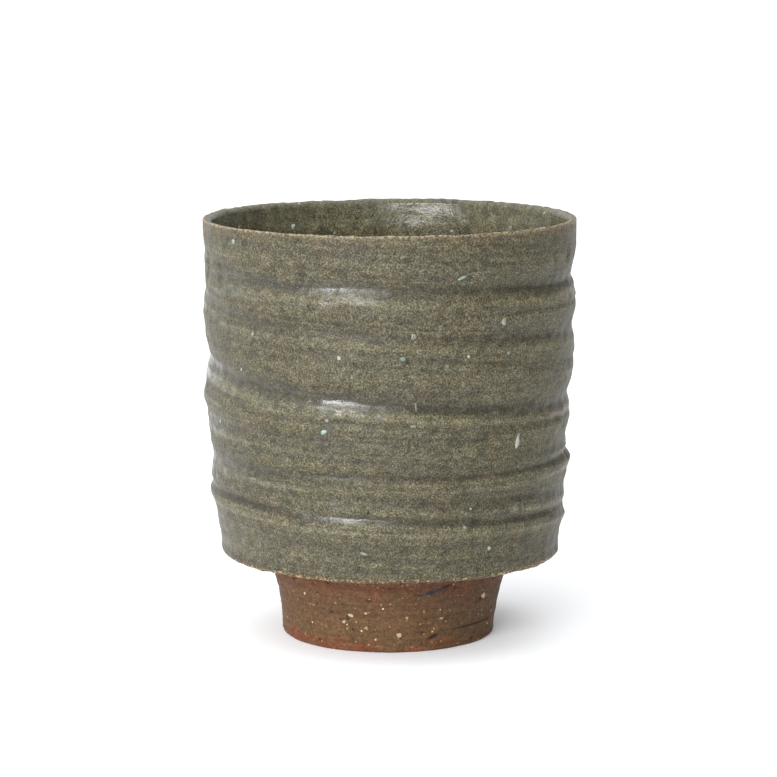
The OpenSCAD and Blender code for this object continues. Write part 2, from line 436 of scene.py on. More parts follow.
def dress(piece, node, finish):
    """Puts a piece in place of its solid, with its finish, on the one body that the cup is."""
    piece.data.materials.append(finish)
    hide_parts(node)
    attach(piece, "root")


# Shapes of the pieces

def base_lean(radius):
    """How much lower or higher the base lies than a level one, growing from the bare clay to the edge."""
    start = BEAD_R + BARE_W
    return BASE_LEAN * SIDE * ease((radius - start) / (BASE_R - start))


# Base corner as (distance in from the wall, height), from the underside to the wall
CORNER = ((2.0, 0.1), (1.0, 0.05), (0.5, 0.05), (0.25, 0.15), (0.1, 0.35), (0.0, 0.7), (0.0, 1.2), (0.0, 1.8))

# Spots on the wall as (angle, height, half width, half height, tilt), which are stained dark
WALL_STAINS = ((-17, 24.3, 0.3, 0.7, 10), (28, 59.1, 0.5, 0.3, 0), (-49, 23.1, 0.5, 0.3, -20),
               (29, 29.6, 2.2, 0.4, 0), (12, 66.7, 0.4, 0.3, 30), (49, 69.1, 0.3, 0.3, 0),
               (-31, 54.5, 0.3, 0.9, 5), (-3, 35.1, 0.25, 0.25, 0), (-42, 7.5, 0.4, 0.4, 0),
               (51, 39.5, 0.3, 0.5, 0), (18, 19.5, 0.35, 0.3, 0), (-60, 44.5, 0.3, 0.3, 0),
               (40, 11.5, 0.3, 0.4, 0), (130, 52.5, 0.6, 0.4, 0), (190, 22.5, 0.5, 0.7, 0),
               (235, 46.5, 0.4, 0.4, 0))

# Patches of lighter or darker glaze as (angle, height, half width, half height, tilt, how much lighter). The
# first, low on the left towards the lamps, is painted light.
WALL_PATCHES = ((-50, 7, 24, 9, 0, 0.14), (-27, 65, 0.8, 2.8, 0, -0.4), (20, 68.6, 28, 1.6, 0, -0.14),
                (28, 60, 20, 6, 5, -0.06), (-38, 13.9, 17, 0.8, -3.5, -0.25),
                (200, 30, 30, 12, 4, 0.08), (140, 58, 16, 7, 3, -0.08))

# Patches where the glaze is duller, or glossier below 0, in the same form
WALL_DULL = ((-10, 50, 22, 5, -5, 0.8), (-10, 21.5, 22, 3.5, -1, 0.6), (-9, 11.5, 12, 4, -2, -0.4),
             (-56, 13, 20, 4, -3.5, 0.85))


def stained(z, radius, stains):
    """How strongly a list of spots covers the surface, at rows of heights and radii, for every angle."""
    cover = np.zeros(np.broadcast_shapes(z.shape, radius.shape))
    for angle, height, wide, tall, tilt in stains:
        across = np.radians((ANGLES - angle + 180) % 360 - 180) * radius
        over = z - height
        level, steep = cos_sin(tilt)
        along = across * level + over * steep
        aside = over * level - across * steep
        cover = np.maximum(cover, np.exp(-((along / wide) ** 2 + (aside / tall) ** 2) ** 2))
    return cover


def patched(z, radius, patches):
    """The sum of a list of soft patches, each a spot as in stained and its strength."""
    return sum(strength * stained(z, radius, [spot]) for *spot, strength in patches)


def rim_thinness(z):
    """How thin the glaze gets towards the lip, where it breaks brown."""
    return RIM_THIN * ease((z - CUP_H + RIM_FADE) / RIM_FADE)


def glazed_wall():
    """The outer coat: under the base, round the corner and up to the lip band."""
    heights = np.linspace(WALL_Z, BAND_Z, round((BAND_Z - WALL_Z) / ROW_H) + 1)
    z = level_rows(heights)
    radius = wall_radius(z)
    soft = blurred(radius, FINE_REACH)
    broad = blurred(radius, BROAD_REACH)
    relief = radius - broad
    pool = radius - soft + lowered(soft - broad, POOL_DROP)
    lean = base_lean(BASE_R) * ease(1 - (z - WALL_Z) / BASE_LEAN_H)
    edge = hills(BASE_LUMPS, 0)
    line_r = BEAD_R + BARE_W + hills(GLAZE_LINE_LUMPS, 0)
    corner_r = radius[0] - CORNER[0][0]
    rows, thin = [], []
    for step in np.linspace(0, 1, 5)[:-1]:
        r = line_r + (corner_r - line_r) * step
        rows.append(ring(r, UNDER_Z + CORNER[0][1] + base_lean(r) + COAT_TAPER * (1 - step) ** 3))
        thin.append(1)
    for inward, height in CORNER:
        uneven = edge * ease((WALL_Z - UNDER_Z - height) / CORNER_H)
        rows.append(ring(radius[0] - inward + CORNER_OUT * uneven, UNDER_Z + height + lean[0] + uneven))
        thin.append(ease((CORNER_THIN - height) / CORNER_FADE))
    below = len(rows)
    rows += [ring(r, h) for r, h in zip(radius, z + lean)]
    shown = len(rows) - 1
    inner = level_rows(np.linspace(BAND_Z, WALL_Z, 32))
    inner_radius = np.array([np.interp(h, heights, column) for column, h in zip(soft.T, inner.T)]).T
    rows += [ring(r - GLAZE_T, h) for r, h in zip(inner_radius, inner)]
    rows += [ring(radius[0] - 2.5, BODY_Z + 0.6), ring(line_r, BODY_Z)]
    none = np.zeros((below, TURN))
    given = {
        "relief": np.concatenate([none, relief]),
        "pool": np.concatenate([none, pool]),
        "run": np.concatenate([none, lowered(relief, RUN_DROP)]),
        "stain": np.concatenate([none, stained(z - UNDER_Z, radius, WALL_STAINS)]),
        "lighter": np.concatenate([none, patched(z - UNDER_Z, radius, WALL_PATCHES)]),
        "dull": np.concatenate([none, patched(z - UNDER_Z, radius, WALL_DULL)]),
        "thin": np.repeat(np.concatenate([thin, rim_thinness(heights)])[:, None], TURN, 1),
    }
    return turned("glazed_wall", rows, shown, given=given)


def lip_rows(depth, steps):
    """Rows over the lip at a depth under its surface, from the outer coat to the liner."""
    dip = DIP_DEEP * ease(1 - abs(ANGLES - DIP_ANGLE) / DIP_WIDE)
    uneven = hills(LIP_LUMPS, 0)
    top = np.minimum(CUP_H - LIP_DROP - RIM_LEAN * (1 - SIDE) - dip + uneven, CUP_H) - depth
    low_out, low_in = top - LIP_ROUND, top - LIP_SLOPE
    rows = []
    for share in np.linspace(0, 1, 4)[:-1]:
        z = BAND_Z + (low_out - BAND_Z) * share
        rows.append(ring(wall_radius(z[None])[0] - depth, z))
    outer = wall_radius(low_out[None])[0] - depth
    inner = space_radius(low_in[None])[0] + depth
    crest = outer - LIP_ROUND
    for turn in np.linspace(0, 90, steps):
        across, up = cos_sin(turn)
        rows.append(ring(crest + LIP_ROUND * across, low_out + LIP_ROUND * up))
    for turn in np.linspace(90, 180, steps)[1:]:
        across, up = cos_sin(turn)
        rows.append(ring(crest + (crest - inner) * across, low_in + LIP_SLOPE * up))
    for share in np.linspace(1, 0, 3)[1:]:
        z = BAND_Z + (low_in - BAND_Z) * share
        rows.append(ring(space_radius(z[None])[0] + depth, z))
    return rows


def lip_band():
    """The thin glaze folded over the lip."""
    rows = lip_rows(0, 9)
    shown = len(rows) - 1
    height = np.array([row[:, 2] for row in rows])
    radius = np.array([np.hypot(row[:, 0], row[:, 1]) for row in rows])
    crest = radius[np.argmax(height, 0), np.arange(TURN)]
    # Pale worn glaze along the crest, partly a painted glint where the crest catches the light
    worn_and_glint = np.exp(-((radius - crest - WORN_GLINT_OUT) / WORN_GLINT_W) ** 2) * ease(2 * (height - CUP_H + WORN_GLINT_H) / WORN_GLINT_H)
    inner = ease((crest - radius) / INNER_W)
    given = {"thin": rim_thinness(height) * (1 - inner), "worn_and_glint": worn_and_glint, "inner": inner}
    rows += lip_rows(LIP_COAT_T, 5)[::-1]
    return turned("lip_band", rows, shown, given=given)


def bowl_rows(depth, coarse):
    """Rows of the inside at a depth under its surface, from the floor's middle up to the lip band."""
    row_h, floor_steps, corner_steps = (2.4, 5, 6) if coarse else (0.6, 24, 16)
    bowl_z = FLOOR_Z + BOWL_R
    z = level_rows(np.linspace(bowl_z, BAND_Z, round((BAND_Z - bowl_z) / row_h) + 1))
    radius = space_radius(z) + depth
    middle = radius[0] - depth - BOWL_R
    rows = []
    for share in np.linspace(0, 1, floor_steps)[1:]:
        dish = FLOOR_RING_H * math.cos(share * FLOOR_RINGS * math.pi) * (1 - share)
        rows.append(ring(middle * share, FLOOR_Z - depth + dish))
    for turn in np.linspace(0, 90, corner_steps)[1:-1]:
        down, out = cos_sin(turn)
        rows.append(ring(middle + (BOWL_R + depth) * out, bowl_z - (BOWL_R + depth) * down))
    return rows + [ring(r, h) for r, h in zip(radius, z)]


def liner_skin():
    """The coat on the inside wall and floor."""
    rows = bowl_rows(0, False)
    shown = len(rows) - 1
    radius = np.array([np.hypot(row[:, 0], row[:, 1]) for row in rows])
    relief = blurred(radius, LINER_REACH) - radius
    floor_rows = 40
    relief[:floor_rows] = 0
    rows += bowl_rows(LINER_T, True)[::-1]
    given = {"relief": relief, "pool": relief, "inner": np.ones(relief.shape)}
    return turned("liner_skin", rows, shown, (FLOOR_Z + FLOOR_RING_H, FLOOR_Z - LINER_T), given)


def clay_body():
    """The clay under the glaze, which shows beside the foot and in the recess."""
    under = BEAD_R + BARE_W + CLAY_LAP
    rows = []
    for share in np.linspace(0, 1, 30)[1:]:
        rows.append(ring(under * share, BODY_Z + hills(UNDER_LUMPS, 40 * share)))
    shown = len(rows) - 1
    z = level_rows(np.linspace(WALL_Z, BAND_Z, 60))
    radius = blurred(wall_radius(z), 2) - GLAZE_T - CLAY_ROOM
    rows.append(ring(radius[0] - 1, BODY_Z + 0.5))
    rows += [ring(r, h) for r, h in zip(radius, z)]
    rows += lip_rows(LIP_CLAY_D, 9)[1:-1]
    rows += bowl_rows(LINER_T + LINER_ROOM, True)[::-1]
    return turned("clay_body", rows, shown, (BODY_Z, FLOOR_Z - LINER_T - LINER_ROOM))


# Gouges in the foot, and spots of dark glaze on it, as (angle, height, half width, half height, tilt)
FOOT_GOUGES = ((24, 3.2, 1.6, 0.36, 22), (62, 14.2, 0.4, 0.7, -30), (33, 13.7, 0.3, 0.3, 0),
               (-31, 8.3, 0.5, 0.25, -20), (-38, 12.4, 0.45, 0.2, -20), (-53, 14.6, 0.5, 0.25, -25),
               (-10, 11.6, 0.4, 0.4, 0), (-40, 1.6, 0.35, 0.35, 0), (-22, 7.3, 0.45, 0.3, -20),
               (53.5, 10.0, 0.4, 0.5, 20), (6.5, 3.4, 0.5, 0.25, 10), (-26, 6.9, 0.35, 0.3, 0),
               (30, 6.7, 0.4, 0.2, 15), (55, 4.3, 8, 0.08, 0), (50, 1.3, 2, 0.08, 8),
               (40, 9.6, 6, 0.08, 0), (-55, 16.0, 4, 0.1, 0), (28, 14.3, 1.2, 0.25, 16),
               (150, 6, 1.0, 0.4, 15), (215, 10, 0.6, 0.5, 0), (190, 4.6, 9, 0.12, 0))
FOOT_STAINS = ((20.5, 13.2, 1.5, 0.6, 10), (25, 13.8, 1.4, 0.3, 16), (14.5, 12.7, 0.9, 0.25, 8),
               (17.5, 4.3, 0.5, 0.25, 0), (120, 9, 0.8, 0.5, 0), (250, 5, 0.6, 0.4, 0))


def foot_clay_ring():
    """The bare ring, from the recess round the tread and up the outside."""
    tread_in = FOOT_R - TREAD_W
    uneven = np.clip(hills(TREAD_LUMPS, 0) + TREAD_LIFT, 0, None)
    rows = []
    for h in np.linspace(RING_TOP_Z, TREAD_R, 24)[:-1]:
        share = (RING_TOP_Z - h) / (RING_TOP_Z - TREAD_R)
        rows.append(ring(RECESS_R + (tread_in - RECESS_R) * share + hills(RECESS_LUMPS, h), h))
    for turn in np.linspace(0, 90, 6):
        back, down = cos_sin(turn)
        rows.append(ring(tread_in + TREAD_R * (1 - back), TREAD_R * (1 - down)))
    edge = foot_radius(level_rows([TREAD_R]))[0]
    for share in (0.33, 0.66):
        rows.append(ring(tread_in + TREAD_R + (edge - tread_in - 2 * TREAD_R) * share, 0))
    for turn in np.linspace(0, 90, 7)[:-1]:
        down, out = cos_sin(turn)
        rows.append(ring(edge - TREAD_R * (1 - out), TREAD_R * (1 - down) + uneven * out))
    below = len(rows)
    z = level_rows(np.linspace(TREAD_R, RING_TOP_Z, 48))
    radius = foot_radius(z)
    gouge = stained(z, radius, FOOT_GOUGES)
    raised = z + uneven * ease(1 - (z - TREAD_R) / TREAD_FADE)
    rows += [ring(r, h) for r, h in zip(radius - GOUGE_D * gouge, raised)]
    none = np.zeros((below, TURN))
    given = {
        "pit": np.concatenate([none, gouge]),
        "stain": np.concatenate([none, stained(z, radius, FOOT_STAINS)]),
    }
    return turned("foot_clay_ring", rows, len(rows) - 1, given=given)


def slip_bead():
    """The slip between foot and body, wiped into a hollow fillet."""
    reach = BODY_Z - FILLET_Z
    rows = []
    for turn in np.linspace(0, 90, 14):
        across, up = cos_sin(turn)
        h = FILLET_Z + reach * up
        side = foot_radius(level_rows([h]))[0] + SLIP_T
        spread = (BEAD_R - RING_TOP_R) * (1 - across)
        rows.append(ring(side + spread + hills(SLIP_LUMPS, h) * up, h))
    shown = len(rows) - 1
    rows += [ring(RECESS_R, BODY_Z), ring(RECESS_R, RING_TOP_Z), ring(RING_TOP_R - SLIP_LAP, RING_TOP_Z)]
    return turned("slip_bead", rows, shown)


# Grains as (angle, height, half width, half height, tilt, greenness, paleness), for those that stand out
GLAZE_GRAINS = ((-54, 69.5, 0.45, 0.5, 0, 0.9, 0.8), (22, 63.6, 1.0, 0.4, 25, 0.8, 0.7),
                (36, 54, 0.5, 0.9, 0, 0.4, 0.5), (7, 51.9, 0.6, 0.8, 0, 0.3, 0.4),
                (-45, 50.9, 0.25, 0.4, -30, 0.1, 0.8), (-15, 47.4, 0.4, 0.5, 20, 0.2, 0.9),
                (4, 47.4, 0.65, 0.5, 10, 1.0, 0.4), (24, 47.4, 0.3, 0.3, 0, 0.8, 0.8),
                (38, 47.4, 0.4, 0.4, 0, 0.5, 0.4), (-11, 43.6, 0.3, 0.5, 0, 0.3, 0.35),
                (-52, 42.9, 0.2, 0.5, -15, 0.0, 0.9), (8, 37.1, 0.22, 1.3, 4, 0.7, 0.4),
                (-3, 35.4, 0.5, 0.45, 0, 0.2, 0.4), (-19, 34.3, 0.5, 0.4, 0, 0.0, 0.5),
                (7, 33.3, 0.6, 0.3, 5, 0.2, 0.5), (-20, 31.9, 0.75, 0.5, 20, 1.0, 0.9),
                (-66, 30.5, 0.25, 0.45, 15, 0.2, 0.8), (43, 28.5, 0.5, 1.5, -8, 0.0, 0.7),
                (26, 15.4, 0.3, 0.3, 0, 0.1, 0.5), (24, 11.6, 0.35, 0.35, 0, 0.2, 0.6),
                (34, 6.4, 0.45, 0.4, 40, 0.8, 0.8), (-8, 6.4, 0.9, 0.35, -12, 0.7, 0.5))
LINER_GRAINS = ((-145, 66.8, 0.5, 0.6, 0, 0.6, 0.9), (158, 65.3, 0.35, 0.4, 0, 0.5, 0.8),
                (134, 66.8, 0.3, 0.75, 35, 0.9, 0.6))
FOOT_GRAINS = ((5, 4, 0.6, 0.5, 10, 0.2, 0.95), (-20, 8.1, 0.55, 0.4, -15, 0.1, 1.0),
               (-24, 6.5, 0.4, 0.35, 20, 0.2, 0.9), (55, 10.5, 0.55, 0.7, 25, 0.1, 0.9),
               (-12, 5.5, 0.45, 0.4, 0, 0.4, 0.7), (-12, 8.8, 0.35, 0.3, 0, 0.4, 0.8),
               (9, 7.8, 0.35, 0.3, 0, 0.4, 0.7), (28, 7.1, 0.5, 0.25, 15, 0.4, 0.7),
               (-47, 11.6, 0.3, 0.35, 0, 0.3, 0.9))

# A grain is no wider than this, and sits within these degrees and millimetres of its listed place
GRAIN_W = 1.15
NEAR_ANGLE = 1.5
NEAR_HEIGHT = 1.2

# How far the middle of a grain lies under the surface, how thick it is for its width and at the least, and
# how much it swells and shrinks by noise of which scale
GRAIN_SINK = 0.04
GRAIN_FLAT = 0.5
GRAIN_LEAST = 0.1
GRAIN_SWELL = 0.4
GRAIN_SCALE = 1.3


def grain_seats(node):
    """Angle, height and size of each grain of a solid, told apart by the gaps between them."""
    points = np.array([tuple(v.co) for v in bpy.data.objects[node].data.vertices]) / MM
    seats = []
    while len(points):
        near = np.linalg.norm(points - points[0], axis=1) < GRAIN_W
        x, y, z = points[near].mean(0)
        seats.append((math.degrees(math.atan2(x, -y)), z, np.ptp(points[near][:, 2]) / 2))
        points = points[~near]
    return seats


def grain_shape(angle, height, size, shapes, rng):
    """The listed shape that sits at a grain's place, or else a random one of about its size."""
    for shape in shapes:
        aside = abs((shape[0] - angle + 180) % 360 - 180)
        if aside < NEAR_ANGLE and abs(shape[1] - height) < NEAR_HEIGHT:
            return shape
    wide, tall = size * rng.uniform(0.5, 1.0, 2)
    return (angle, height, wide, tall, rng.uniform(-40, 40), rng.uniform(0, 1), rng.uniform(0.3, 0.9))


def grain_piece(name, node, shapes, floor, surface, inside=False):
    """The grains of a solid as melted blobs, sunk in a surface so that a part of each stands out. The heights
    of the listed shapes are counted from a floor."""
    ball = bmesh.new()
    bmesh.ops.create_icosphere(ball, subdivisions=3, radius=1.0)
    unit = np.array([tuple(v.co) for v in ball.verts])
    triangles = np.array([[v.index for v in face.verts] for face in ball.faces])
    ball.free()
    rng = np.random.default_rng(5)
    points, faces, tints = [], [], []
    for angle, height, size in grain_seats(node):
        angle, height, wide, tall, tilt, *tint = grain_shape(angle, height - floor, size, shapes, rng)
        height += floor
        at = Vector(rng.uniform(-50, 50, 3))
        lumpy = [noise.noise(GRAIN_SCALE * Vector(p) + at) for p in unit]
        swell = 1 + GRAIN_SWELL * np.array(lumpy)[:, None]
        thick = GRAIN_FLAT * min(wide, tall) + GRAIN_LEAST
        across, over, out = (unit * swell * (wide, tall, thick)).T
        level, steep = cos_sin(tilt)
        along = across * level - over * steep
        z = height + across * steep + over * level
        base = np.interp(angle, ANGLES, surface(level_rows([height]))[0], period=360)
        radius = base + (GRAIN_SINK - out if inside else out - GRAIN_SINK)
        around = math.radians(angle) + along / base
        faces.append(triangles + sum(map(len, points)))
        points.append(np.stack([radius * np.sin(around), -radius * np.cos(around), z], 1))
        tints += [tint] * len(unit)
    mesh = bpy.data.meshes.new(name)
    mesh.from_pydata((np.concatenate(points) * MM).tolist(), [], np.concatenate(faces).tolist())
    mesh.polygons.foreach_set("use_smooth", [True] * len(mesh.polygons))
    for key, value in zip(("green", "pale"), np.array(tints, np.float32).T):
        mesh.attributes.new(key, "FLOAT", "POINT").data.foreach_set("value", value.copy())
    face_outward(mesh)
    return shown_piece(name, mesh)


# Finishes

# How far the streaks of the glaze fall to the right, in degrees
STREAK_LEAN = 3.1

# Where the gloss of the grooves ends and where the glaze gets dry, each as two places from left to right
GLOSS_END = (-12 * MM, 0.0)
DRY_SIDE = (10 * MM, 36 * MM)


def tone(red, green, blue):
    """A colour from 8-bit screen values above 10."""
    return tuple(((v / 255 + 0.055) / 1.055) ** 2.4 for v in (red, green, blue)) + (1.0,)


class Finish:
    """A material, with short ways to add nodes to it."""

    def __init__(self, name):
        self.material = bpy.data.materials.new(name)
        self.material.use_nodes = True
        self.tree = self.material.node_tree
        self.surface = self.tree.nodes["Principled BSDF"]
        self.place = self.add("ShaderNodeTexCoord").outputs["Object"]

    def add(self, kind, inputs=None, **settings):
        node = self.tree.nodes.new(kind)
        for key, value in settings.items():
            setattr(node, key, value)
        for key, value in (inputs or {}).items():
            self.feed(node.inputs[key], value)
        return node

    def feed(self, socket, value):
        if isinstance(value, bpy.types.NodeSocket):
            self.tree.links.new(value, socket)
        else:
            socket.default_value = value

    def axis(self, index):
        return self.add("ShaderNodeSeparateXYZ", {0: self.place}).outputs[index]

    def given(self, name):
        return self.add("ShaderNodeAttribute", attribute_name=name).outputs["Fac"]

    def math(self, operation, a, b=0.0):
        return self.add("ShaderNodeMath", {0: a, 1: b}, operation=operation).outputs[0]

    def times(self, a, b):
        return self.math("MULTIPLY", a, b)

    def span(self, value, low, high, start=0.0, end=1.0):
        sockets = {"Value": value, "From Min": low, "From Max": high, "To Min": start, "To Max": end}
        return self.add("ShaderNodeMapRange", sockets).outputs["Result"]

    def between(self, share, start, end):
        return self.span(share, 0.0, 1.0, start, end)

    def mix(self, share, a, b, blend="MIX"):
        sockets = {0: share, 6: a, 7: b}
        return self.add("ShaderNodeMix", sockets, data_type="RGBA", blend_type=blend).outputs[2]

    def tinted(self, a, b):
        return self.mix(1.0, a, b, "MULTIPLY")

    def ramp(self, value, stops):
        node = self.add("ShaderNodeValToRGB", {"Fac": value})
        spare = node.color_ramp.elements
        while len(spare) < len(stops):
            spare.new(1.0)
        for element, (position, colour) in zip(spare, stops):
            element.position = position
            element.color = colour
        return node.outputs["Color"]

    def stretched(self, across, tall, lean=0.0):
        """Coordinates in which a texture of scale 1 is so many millimetres across and tall, and leans."""
        sockets = {"Vector": self.place, "Scale": (across * MM, across * MM, tall * MM),
                   "Rotation": (0, math.radians(lean), 0)}
        return self.add("ShaderNodeMapping", sockets, vector_type="TEXTURE").outputs[0]

    def noise(self, across, tall=None, detail=2.0, rough=0.5, lean=0.0):
        vector = self.stretched(across, tall or across, lean)
        sockets = {"Vector": vector, "Scale": 1.0, "Detail": detail, "Roughness": rough}
        return self.add("ShaderNodeTexNoise", sockets).outputs["Fac"]

    def cells(self, across):
        sockets = {"Vector": self.stretched(across, across), "Scale": 1.0}
        return self.add("ShaderNodeTexVoronoi", sockets)

    def cell_value(self, cells, channel):
        return self.add("ShaderNodeSeparateColor", {0: cells.outputs["Color"]}).outputs[channel]

    def specks(self, across, share, radius, soft=0.3):
        """Spots in a share of cells of a size, with a radius as a share of the cell: 1 inside, 0 outside."""
        cells = self.cells(across)
        chosen = self.math("LESS_THAN", self.cell_value(cells, 0), share)
        size = self.math("MULTIPLY_ADD", self.cell_value(cells, 1), radius)
        size.node.inputs[2].default_value = radius * 0.4
        inside = self.span(self.math("DIVIDE", cells.outputs["Distance"], size), 1.0, 1.0 - soft)
        return self.times(chosen, inside)

    def bump(self, height, strength, depth):
        sockets = {"Height": height, "Strength": strength, "Distance": depth * MM}
        return self.add("ShaderNodeBump", sockets).outputs["Normal"]

    def done(self, colour, roughness, normal, specular=0.5):
        self.feed(self.surface.inputs["Base Color"], colour)
        self.feed(self.surface.inputs["Roughness"], roughness)
        self.feed(self.surface.inputs["Normal"], normal)
        self.feed(self.surface.inputs["Specular IOR Level"], specular)
        return self.material


def glaze_finish(name):
    """The speckled ash glaze: olive-grey, dark and glossy where it pools under the grooves, khaki where it
    ran on, and greener and glossier inside the cup. It is driest on the right."""
    f = Finish(name)
    inner = f.given("inner")
    relief = f.given("relief")
    pool = f.span(f.given("pool"), -0.02, -0.26)
    run = f.span(f.given("run"), -0.05, -0.3)
    fine = f.noise(0.32, 0.32, 1.0)
    clots = f.noise(1.5, 1.15, 2.0)
    patch = f.span(f.noise(6, 3, 3.0, 0.55, STREAK_LEAN), 0.35, 0.65)
    green = f.span(f.noise(3.2, 2.0, 3.0, 0.6, STREAK_LEAN), 0.52, 0.66)
    streak = f.span(f.noise(26, 0.8, 3.0, 0.6, STREAK_LEAN), 0.3, 0.7)
    # Light and dark
    light = f.span(clots, 0.25, 0.75, 0.7, 1.36)
    streaky = f.times(f.between(streak, -0.22, 0.22), f.between(inner, 1.0, 0.3))
    light = f.times(light, f.math("ADD", streaky, 1.0))
    blotchy = f.times(f.span(f.noise(2.8, 3.4, 2.0), 0.35, 0.65, -0.2, 0.2), inner)
    light = f.times(light, f.math("ADD", blotchy, 1.0))
    light = f.times(light, f.between(pool, 1.0, 0.46))
    light = f.times(light, f.between(run, 1.0, 1.2))
    light = f.times(light, f.span(relief, 0.02, 0.3, 1.0, 1.2))
    light = f.times(light, f.between(green, 1.06, 0.78))
    # Patches of lighter or darker glaze; the one low on the left is painted light
    light = f.times(light, f.math("ADD", f.given("lighter"), 1.0))
    light = f.times(light, f.between(f.specks(0.9, 0.36, 0.2), 1.0, 0.34))
    light = f.times(light, f.between(f.specks(1.5, 0.22, 0.14), 1.0, 0.22))
    light = f.times(light, f.between(f.specks(0.7, 0.25, 0.24, 0.6), 1.0, 1.5))
    # Hue
    hue = f.mix(patch, (0.99, 0.99, 0.99, 1), (1.06, 1.0, 0.89, 1))
    hue = f.tinted(hue, f.mix(streak, (1.02, 0.97, 1.02, 1), (1.0, 1.01, 0.92, 1)))
    hue = f.mix(f.times(run, 0.6), hue, (1.08, 1.04, 0.8, 1))
    hue = f.mix(f.times(green, 0.6), hue, (0.88, 1.0, 0.95, 1))
    hue = f.mix(f.times(pool, 0.6), hue, (1.04, 0.97, 0.84, 1))
    # Grain, specks and stains
    grains = f.ramp(fine, ((0.28, tone(48, 44, 28)), (0.5, tone(74, 71, 56)), (0.72, tone(106, 103, 92))))
    colour = f.tinted(f.tinted(hue, grains), light)
    colour = f.mix(f.times(f.specks(1.9, 0.08, 0.12), 0.6), colour, tone(66, 48, 30))
    colour = f.mix(f.times(f.specks(1.7, 0.12, 0.14, 0.6), 0.6), colour, tone(112, 118, 104))
    colour = f.mix(f.times(f.given("stain"), 0.6), colour, tone(22, 24, 22))
    # Thin glaze at the edges, crumbs, the worn lip with its painted glint, and the inside
    broken = f.span(f.noise(1.1, 1.1, 3.0), 0.38, 0.62)
    thin = f.times(f.given("thin"), broken)
    colour = f.mix(thin, colour, f.tinted(colour, (1.4, 1.0, 0.68, 1)))
    bits = f.noise(0.55, 0.55, 1.0)
    crumbs = f.times(f.span(bits, 0.53, 0.61), f.span(f.noise(3.5, 3.5, 2.0), 0.38, 0.5))
    colour = f.mix(f.times(f.span(f.given("thin"), 0.6, 0.75), crumbs), colour, tone(164, 142, 112))
    # The pale crest of the lip: worn glaze, and partly a painted highlight
    worn_and_glint = f.times(f.given("worn_and_glint"), f.span(bits, 0.42, 0.6, 0.1, 1.0))
    colour = f.mix(worn_and_glint, colour, tone(158, 144, 116))
    colour = f.tinted(colour, f.mix(inner, (1, 1, 1, 1), (1.18, 1.22, 1.1, 1)))
    colour = f.mix(f.times(inner, f.specks(3.2, 0.3, 0.2, 0.8)), colour, tone(48, 48, 36))
    colour = f.mix(f.times(inner, f.specks(2.6, 0.3, 0.16, 0.5)), colour, tone(150, 158, 142))
    # Gloss
    gloss = f.math("MAXIMUM", run, f.times(pool, 0.9))
    gloss = f.times(gloss, f.span(f.axis(0), *GLOSS_END, 1.0, 0.3))
    gloss = f.times(gloss, f.math("SUBTRACT", 1.0, f.given("dull")))
    gloss = f.math("MAXIMUM", gloss, f.times(worn_and_glint, 0.9))
    gloss = f.math("MAXIMUM", gloss, f.times(inner, 0.65))
    roughness = f.math("ADD", f.between(gloss, 0.48, 0.16), f.span(clots, 0.3, 0.7, -0.05, 0.05))
    specular = f.between(gloss, 0.25, 0.7)
    specular = f.times(specular, f.span(f.axis(0), *DRY_SIDE, 1.0, 0.65))
    # Bumps and pits
    pits = f.specks(0.7, 0.5, 0.28, 0.7)
    height = f.math("MULTIPLY_ADD", f.noise(1.3, 1.0, 2.0, 0.5), 0.35)
    f.feed(height.node.inputs[2], f.times(fine, 0.15))
    height = f.math("SUBTRACT", height, f.times(pits, 0.25))
    height = f.times(height, f.between(gloss, 1.0, 0.45))
    return f.done(colour, roughness, f.bump(height, 1.0, 0.3), specular)


def clay_finish(name, stops, height):
    """Bare iron-rich stoneware: a fine sandy grain with pale grog and dark pits, and the marks of trimming.
    It is painted lighter on the left and darker on the right, as painted light and shade. The stops of its
    colour go up to a height."""
    f = Finish(name)
    sway = 0.12 * height * MM
    wander = f.span(f.noise(7, 3, 3.0), 0.3, 0.7, -sway, sway)
    share = f.span(f.math("ADD", f.axis(2), wander), 0.0, height * MM)
    colour = f.ramp(share, stops)
    streak = f.noise(18, 0.7, 3.0)
    light = f.span(f.noise(0.35, 0.35, 1.0), 0.25, 0.75, 0.62, 1.38)
    light = f.times(light, f.span(streak, 0.3, 0.7, 0.86, 1.14))
    light = f.times(light, f.span(f.noise(1.2, 1.0, 2.0), 0.25, 0.75, 0.7, 1.3))
    # Painted light and shade: the clay is made lighter on the left and darker on the right
    light = f.times(light, f.span(f.axis(0), 0.0, 12 * MM, 1.1, 0.9))
    colour = f.tinted(colour, light)
    colour = f.mix(f.times(f.specks(0.8, 0.14, 0.26), 0.6), colour, tone(124, 82, 56))
    colour = f.mix(f.times(f.specks(0.9, 0.26, 0.2), 0.8), colour, tone(170, 136, 100))
    colour = f.mix(f.specks(1.5, 0.26, 0.13), colour, tone(210, 188, 154))
    pits = f.math("MAXIMUM", f.times(f.specks(1.1, 0.2, 0.18), 0.9), f.given("pit"))
    colour = f.mix(pits, colour, tone(26, 19, 16))
    colour = f.mix(f.given("stain"), colour, tone(26, 33, 41))
    bumps = f.math("SUBTRACT", f.noise(0.7, 0.7, 3.0, 0.6), f.times(pits, 0.8))
    bumps = f.math("ADD", bumps, f.times(streak, 0.5))
    roughness = f.between(f.given("stain"), 0.75, 0.3)
    return f.done(colour, roughness, f.bump(bumps, 0.6, 0.16), 0.3)


def grain_finish(name, around, white, green, roughness):
    """Melted mineral grains between two colours, less or more sunk in the colour round them."""
    f = Finish(name)
    cloud = f.span(f.noise(0.6, 0.6, 2.0), 0.3, 0.7)
    colour = f.mix(f.given("pale"), around, f.mix(f.given("green"), white, green))
    colour = f.tinted(colour, f.between(cloud, 0.6, 1.0))
    return f.done(colour, f.between(cloud, roughness, roughness + 0.15), f.bump(cloud, 0.3, 0.08))


# The cup

